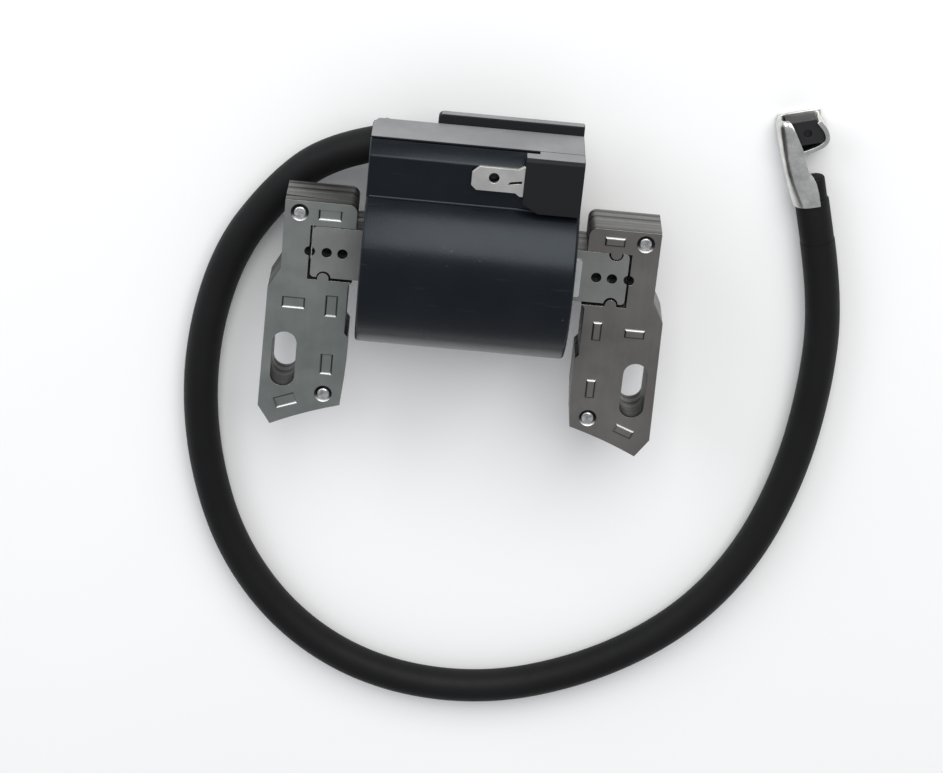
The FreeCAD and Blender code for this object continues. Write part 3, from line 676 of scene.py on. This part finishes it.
# ---- plug terminal ------------------------------------------------------------------------------------

# in the terminal's own frame, in metres: the lead's middle above the floor, and the stud's place
LEAD_LEVEL = 4.0 * MM
STUD = (0.9 * MM, 23.2 * MM)


def terminal_frame():
    """From the terminal's own frame, with the lead along -Y and the floor at zero, to the coil's."""
    end, before = route()[-1], route()[-2]
    turn = math.atan2(before.x - end.x, end.y - before.y)
    return Matrix.Translation((end.x, end.y, 0)) @ Matrix.Rotation(turn, 4, "Z")


def set_on_lead(obj):
    """Moves a piece from the terminal's own frame to its place at the lead's end."""
    obj.matrix_world = terminal_frame()
    return fixed(obj)


def facing_out(obj, middle):
    """Turns the faces of an open wall away from the middle of what it goes round."""
    middle = Vector(middle) * MM
    if sum(face.normal.dot(face.center - middle) * face.area for face in obj.data.polygons) < 0:
        everything(obj)
        bpy.ops.mesh.flip_normals()
        done()
    return obj


def make_barrel():
    """The crimped tube, drawn out ring by ring, with two grooves pressed across its top."""
    middle = (0, 0, LEAD_LEVEL)
    grooves, flank, squeeze = (2.7, 5.7), -1.6 * MM, 0.91
    # distance along the lead and outer radius, in millimetres
    profile = [(-0.3, 3.98), (0.4, 3.9)]
    for v in grooves:
        profile += [(v - 0.28, 3.88), (v, 3.88), (v + 0.28, 3.88)]
    profile += [(8.2, 3.86), (9.1, 3.84)]
    bpy.ops.object.select_all(action="DESELECT")
    start, radius = profile[0]
    bpy.ops.mesh.primitive_circle_add(
        vertices=72, radius=radius * MM, location=(0, start * MM, LEAD_LEVEL), rotation=(math.pi / 2, 0, 0)
    )
    barrel = fixed(added("terminal_barrel"))
    everything(barrel)
    for (before, wide), (here, radius) in zip(profile, profile[1:]):
        bpy.ops.mesh.extrude_region_move(TRANSFORM_OT_translate={"value": (0, (here - before) * MM, 0)})
        bpy.ops.transform.resize(value=(radius / wide, 1, radius / wide), center_override=middle)
    done()
    for v in grooves:

        def on_groove(place, way, v=v):
            return abs(place.y - v * MM) < 1e-5 and place.x > flank and place.z > LEAD_LEVEL

        pick(barrel, "points", on_groove)
        bpy.ops.transform.resize(value=(squeeze, 1, squeeze), center_override=middle)
        done()
    return facing_out(barrel, (0, 4.4, 4.0))


def section(v, left, right, low, top, bend, steps=12):
    """One section of the strip: up its left wall, round its bend and over to its right edge."""
    bpy.ops.object.select_all(action="DESELECT")
    bpy.ops.mesh.primitive_circle_add(vertices=4 * steps, radius=bend * MM, rotation=(math.pi / 2, 0, 0))
    wall = fixed(added("section"))
    pick(wall, "points", lambda place, way: place.x > 1e-6 or place.z < -1e-6)
    bpy.ops.mesh.delete(type="VERT")
    done()
    wall.location = ((left + bend) * MM, v * MM, (top - bend) * MM)
    fixed(wall)
    foot = min(wall.data.vertices, key=lambda one: one.co.z).co.copy()
    crown = max(wall.data.vertices, key=lambda one: one.co.z).co.copy()
    for corner, step in ((foot, (0, 0, low * MM - foot.z)), (crown, (right * MM - crown.x, 0, 0))):
        pick(wall, "points", lambda place, way, corner=corner: (place - corner).length < 1e-6)
        bpy.ops.mesh.extrude_region_move(TRANSFORM_OT_translate={"value": step})
        done()
    return wall


def make_neck():
    """Left wall and top of the strip, from the barrel to the domed cheek beside the socket."""
    # distance from the lead's end, left wall, right edge, foot, crown and radius of the bend
    stations = [
        (8.4, -3.88, 1.4, 1.2, 7.9, 3.85),
        (9.8, -4.0, 1.4, 1.0, 7.85, 3.7),
        (11.2, -4.2, 1.4, 0.8, 7.75, 3.4),
        (13.2, -4.4, 1.2, 0.6, 7.5, 3.0),
        (14.4, -4.5, 0.8, 0.5, 7.3, 2.8),
        (15.6, -4.6, 0.1, 0.5, 7.1, 2.7),
        (17.0, -4.7, -0.2, 0.4, 6.9, 2.6),
        (18.8, -4.8, -0.2, 0.4, 6.8, 2.6),
        (20.5, -4.9, -0.5, 0.4, 7.0, 2.9),
        (22.2, -4.95, -0.9, 0.4, 7.1, 3.2),
        (23.9, -4.95, -1.3, 0.4, 7.0, 3.2),
        (25.2, -4.8, -1.7, 0.4, 6.8, 2.8),
        (26.1, -4.4, -2.1, 0.5, 6.4, 2.1),
        (26.5, -3.8, -2.5, 0.9, 5.9, 1.2),
    ]
    sections = [section(*station) for station in stations]
    neck = joined("terminal_neck", sections)
    everything(neck)
    bpy.ops.mesh.bridge_edge_loops(type="SINGLE")
    done()
    facing_out(neck, (1.0, 17.0, 1.0))
    # a small dent in the crown, just past the barrel
    dent = Vector((0.3, 12.3)) * MM
    pick(neck, "points", lambda place, way: (place.xy - dent).length < 0.9 * MM and place.z > 6 * MM)
    bpy.ops.transform.translate(value=(0, 0, -0.3 * MM))
    done()
    return neck


def make_loop():
    """The spring that runs from the neck round the socket's open side, stood on edge."""
    path = [
        (-3.4, 18.6), (-1.8, 18.8), (0.4, 19.1), (2.6, 19.6), (4.3, 20.3),
        (5.1, 21.6), (5.0, 23.2), (4.4, 24.6), (3.7, 25.7),
    ]
    middle, half_height = 3.7 * MM, 2.9 * MM
    corners = [(u * MM, v * MM, middle) for u, v in path]
    loop = smooth_line("terminal_loop", corners, extrude=half_height, resolution_u=8)
    alone(loop)
    bpy.ops.object.convert(target="MESH")
    return facing_out(bpy.context.active_object, (0.5, 23.0, 3.7))


def make_floor_strip():
    """Foot of the socket, with the hole for the spark plug's stud."""
    foot = block("terminal_foot", (-3.6 * MM, 19.5 * MM, 0.35 * MM), (4.2 * MM, 26.2 * MM, 0.95 * MM))
    hole = rod("stud_hole", 2.15 * MM, (*STUD, -1 * MM), (*STUD, 2 * MM), 48)
    finish_with(foot, "BOOLEAN", operation="DIFFERENCE", object=hole, solver="EXACT")
    bpy.data.objects.remove(hole)
    return foot


def make_terminal(material):
    """Barrel, neck, spring and foot in one strip, with its walls thickened inward."""
    walls = []
    for obj, thickness in ((make_barrel(), 0.45), (make_neck(), 0.7), (make_loop(), 0.9)):
        finish_with(obj, "SOLIDIFY", thickness=thickness * MM, offset=-1)
        walls.append(obj)
    walls.append(make_floor_strip())
    for obj in walls:
        finish_with(
            obj, "BEVEL", width=0.12 * MM, segments=3, limit_method="ANGLE", angle_limit=math.radians(50)
        )
    shell = set_on_lead(smooth(joined("plug_terminal_strip", walls), 40))
    return stand_in(shell, material, "zinc_plate", "plug_terminal_shell")


def make_insert(material):
    """Black block in the socket, whose left side is under the cheek."""
    obj = copy_of("plug_terminal_insert", "plug_terminal_block")
    own, cheek = terminal_frame(), -2.9 * MM
    everything(obj)
    bpy.ops.mesh.bisect(
        plane_co=own @ Vector((cheek, 0, 0)), plane_no=own.to_3x3() @ Vector((-1, 0, 0)),
        use_fill=True, clear_outer=True,
    )
    done()
    broken_edges(obj, 0.0002)
    return stand_in(obj, material, "insert_black", "plug_terminal_insert")


def make_jacket_end(material):
    """End of the lead's jacket inside the barrel, showing beside the neck."""
    wide, narrow = 3.4 * MM, 2.2 * MM
    inside = rod("lead_jacket_end", wide, (0, -0.2 * MM, LEAD_LEVEL), (0, 9.0 * MM, LEAD_LEVEL), 64)
    aside, level = 0.9 * MM, LEAD_LEVEL + 0.2 * MM
    squeezed = rod("lead_jacket_tip", narrow, (aside, 8.0 * MM, level), (aside, 13.6 * MM, level), 48)
    tail = joined("lead_jacket_end", [inside, squeezed])
    pick(tail, "faces", lambda place, way: way.y > 0.9)
    bpy.ops.mesh.bevel(offset=0.0006, segments=4)
    done()
    return stand_in(set_on_lead(smooth(tail)), material, "lead_rubber", "lead_crimped_end")


# ---- make it all ------------------------------------------------------------------------------------------

set_camera()
lay_floor()
set_light()

black = moulded_black()
jacket = lead_jacket()
lead = make_lead(jacket)
green_steel = sheet_steel("sheet_steel_left", (0.265, 0.285, 0.27))
brown_steel = sheet_steel("sheet_steel_right", (0.205, 0.193, 0.18))
core_steel = sheet_steel("sheet_steel_core", (0.31, 0.32, 0.3))
rivet_metal = bright_metal("rivet_metal", (0.9, 0.9, 0.88), 0.2, 0.4, 2500, 0.3)
tin = bright_metal("tin_plate", (0.78, 0.77, 0.73), 0.3, 0.45)
zinc = bright_metal("zinc_plate", (0.88, 0.88, 0.84), 0.16, 0.32, 900, 0.6)

make_stack("left_leg_laminations", "left_leg_stack", green_steel, 0.00009, -1)
make_stack("right_leg_laminations", "right_leg_stack", brown_steel, 0.00006, 1)
make_stack("core_laminations", "core_stack", core_steel, 0.00002)
make_rivets("left_leg_rivets", "left_rivet_set", rivet_metal)
make_rivets("right_leg_rivets", "right_rivet_set", rivet_metal)
make_housing(black)
cover = cover_black()
make_trim("top_cover", "top_cover_plate", 0.00015, cover, "grey_black_cover")
make_trim("rear_cover", "rear_cover_lip", 0.0003, cover, "grey_black_cover")
make_trim("terminal_block", "terminal_block_moulding", 0.0005, cover, "grey_black_cover")
make_trim("stop_terminal", "stop_blade", 0.00008, tin, "tinned_brass")
shell = make_terminal(zinc)
insert = make_insert(plain_inside("insert_black", (0.006, 0.006, 0.007), 0.5))
jacket_end = make_jacket_end(jacket)

# CAD nodes that stay as they are, nearly all of them sealed inside
INSIDE = {
    "primary_bobbin": plain_inside("nylon", (0.7, 0.68, 0.6), 0.5),
    "secondary_bobbin": plain_inside("nylon_fine", (0.72, 0.7, 0.63), 0.5),
    "primary_winding": wound_wire("primary_wire", (0.55, 0.24, 0.1), 0.0006),
    "secondary_winding": wound_wire("secondary_wire", (0.6, 0.28, 0.12), 0.0002),
    "winding_insulation": plain_inside("insulating_film", (0.6, 0.38, 0.1), 0.3),
    "potting_compound": plain_inside("resin", (0.04, 0.04, 0.045), 0.4),
    "lead_seal": plain_inside("seal_resin", (0.03, 0.03, 0.033), 0.4),
    "circuit_board": plain_inside("board", (0.08, 0.26, 0.1), 0.4),
    "switching_transistor": plain_inside("package_black", (0.02, 0.02, 0.02), 0.5),
    "blocking_diode": plain_inside("diode_black", (0.02, 0.02, 0.02), 0.5),
    "bias_resistor": plain_inside("resistor_tan", (0.55, 0.42, 0.25), 0.4),
    "timing_capacitor": plain_inside("capacitor_ochre", (0.6, 0.35, 0.1), 0.4),
    "ground_strap": tin,
    "high_tension_contact": plain_inside("contact_brass", (0.7, 0.5, 0.2), 0.3, 1.0),
    "lead_conductor": plain_inside("conductor", (0.65, 0.45, 0.3), 0.35, 1.0),
    "lead_inner_end": jacket,
    "core_retaining_wedge": bright_metal("spring_leaf", (0.85, 0.87, 0.83), 0.25, 0.4),
}
for node, material in INSIDE.items():
    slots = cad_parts[node].data.materials
    slots.clear()
    slots.append(material)
